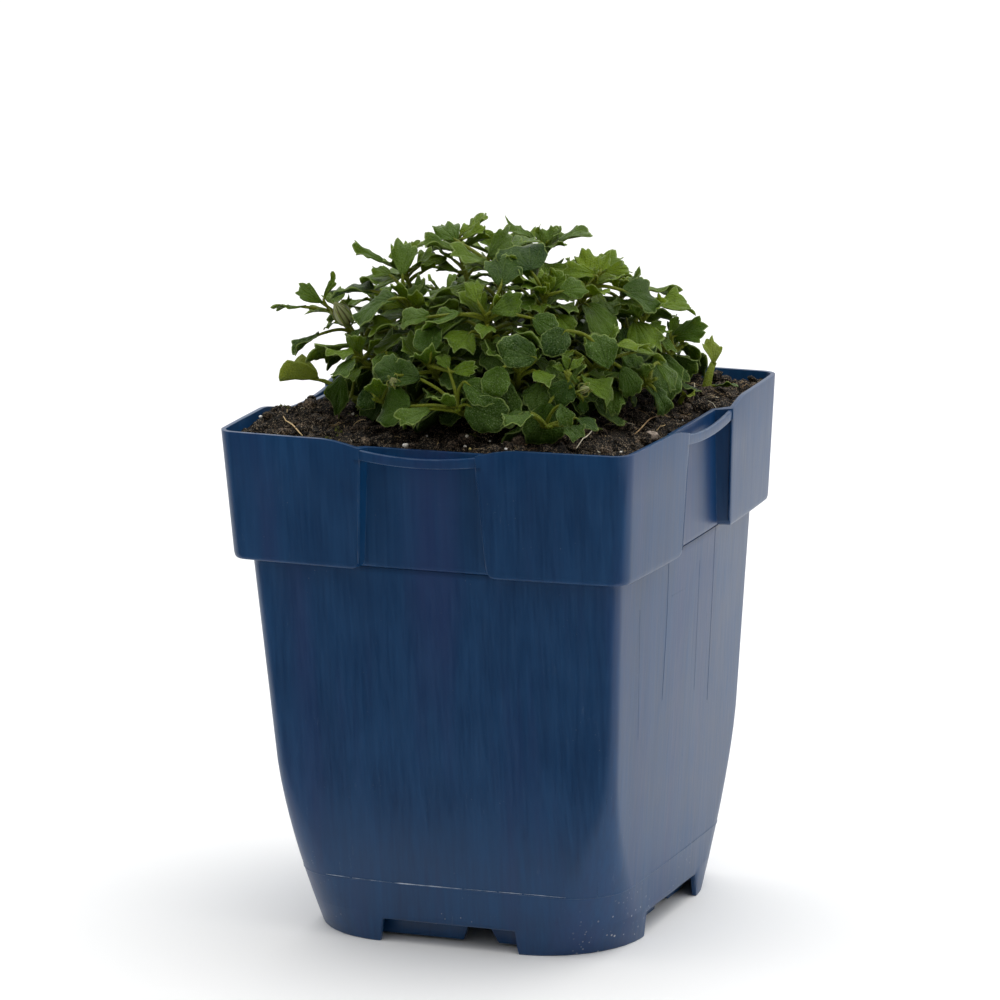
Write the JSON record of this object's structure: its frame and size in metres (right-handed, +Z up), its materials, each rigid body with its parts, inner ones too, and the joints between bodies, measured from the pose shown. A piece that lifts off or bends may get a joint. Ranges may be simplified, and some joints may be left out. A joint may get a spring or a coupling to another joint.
{
  "type": "potted bellflower plant",
  "caption": "Leafy mound of bellflower with toothed rounded leaves and closed buds, in peat in a square navy plastic nursery pot with label straps.",
  "frame": {"origin": "middle of the pot's foot, on the surface that it stands on", "axes": "+Z up; -Y is the front face of the pot and +X the face on its right, as seen from the front"},
  "size_m": [0.1232, 0.1232, 0.1943],
  "materials": {
    "pot_plastic": "semi-gloss navy polypropylene, scuffed, with fine upright flow marks",
    "peat_soil": "dark damp peat compost, matte and crumbly",
    "leaf_green": "living green leaves and stems, soft sheen",
    "young_green": "young yellow-green leaf, soft sheen",
    "bud_green": "closed green bud, faintly striped"
  },
  "bodies": {
    "root": {"pot": "pot_plastic", "soil": "peat_soil", "shoot_01": "leaf_green", "shoot_02": "leaf_green", "shoot_03": "leaf_green", "shoot_04": "leaf_green", "shoot_05": "leaf_green", "shoot_06": "leaf_green", "shoot_07": "leaf_green", "shoot_08": "leaf_green", "shoot_09": "leaf_green", "shoot_10": "leaf_green", "shoot_11": "leaf_green", "shoot_12": "leaf_green", "shoot_13": "leaf_green", "shoot_14": "leaf_green", "shoot_15": "leaf_green", "shoot_16": "leaf_green", "shoot_17": "leaf_green", "shoot_18": "leaf_green", "shoot_19": "leaf_green", "shoot_20": "leaf_green", "shoot_21": "leaf_green", "shoot_22": "leaf_green", "shoot_23": "leaf_green", "shoot_24": "leaf_green", "shoot_25": "leaf_green", "shoot_26": "leaf_green", "shoot_27": "leaf_green", "shoot_28": "leaf_green", "shoot_29": "leaf_green", "shoot_30": "leaf_green", "young_leaf": "young_green", "seedling": "young_green", "sprout": "young_green", "bud_left": "bud_green", "bud_front": "bud_green", "bud_right": "bud_green"}
  },
  "joints": []
}
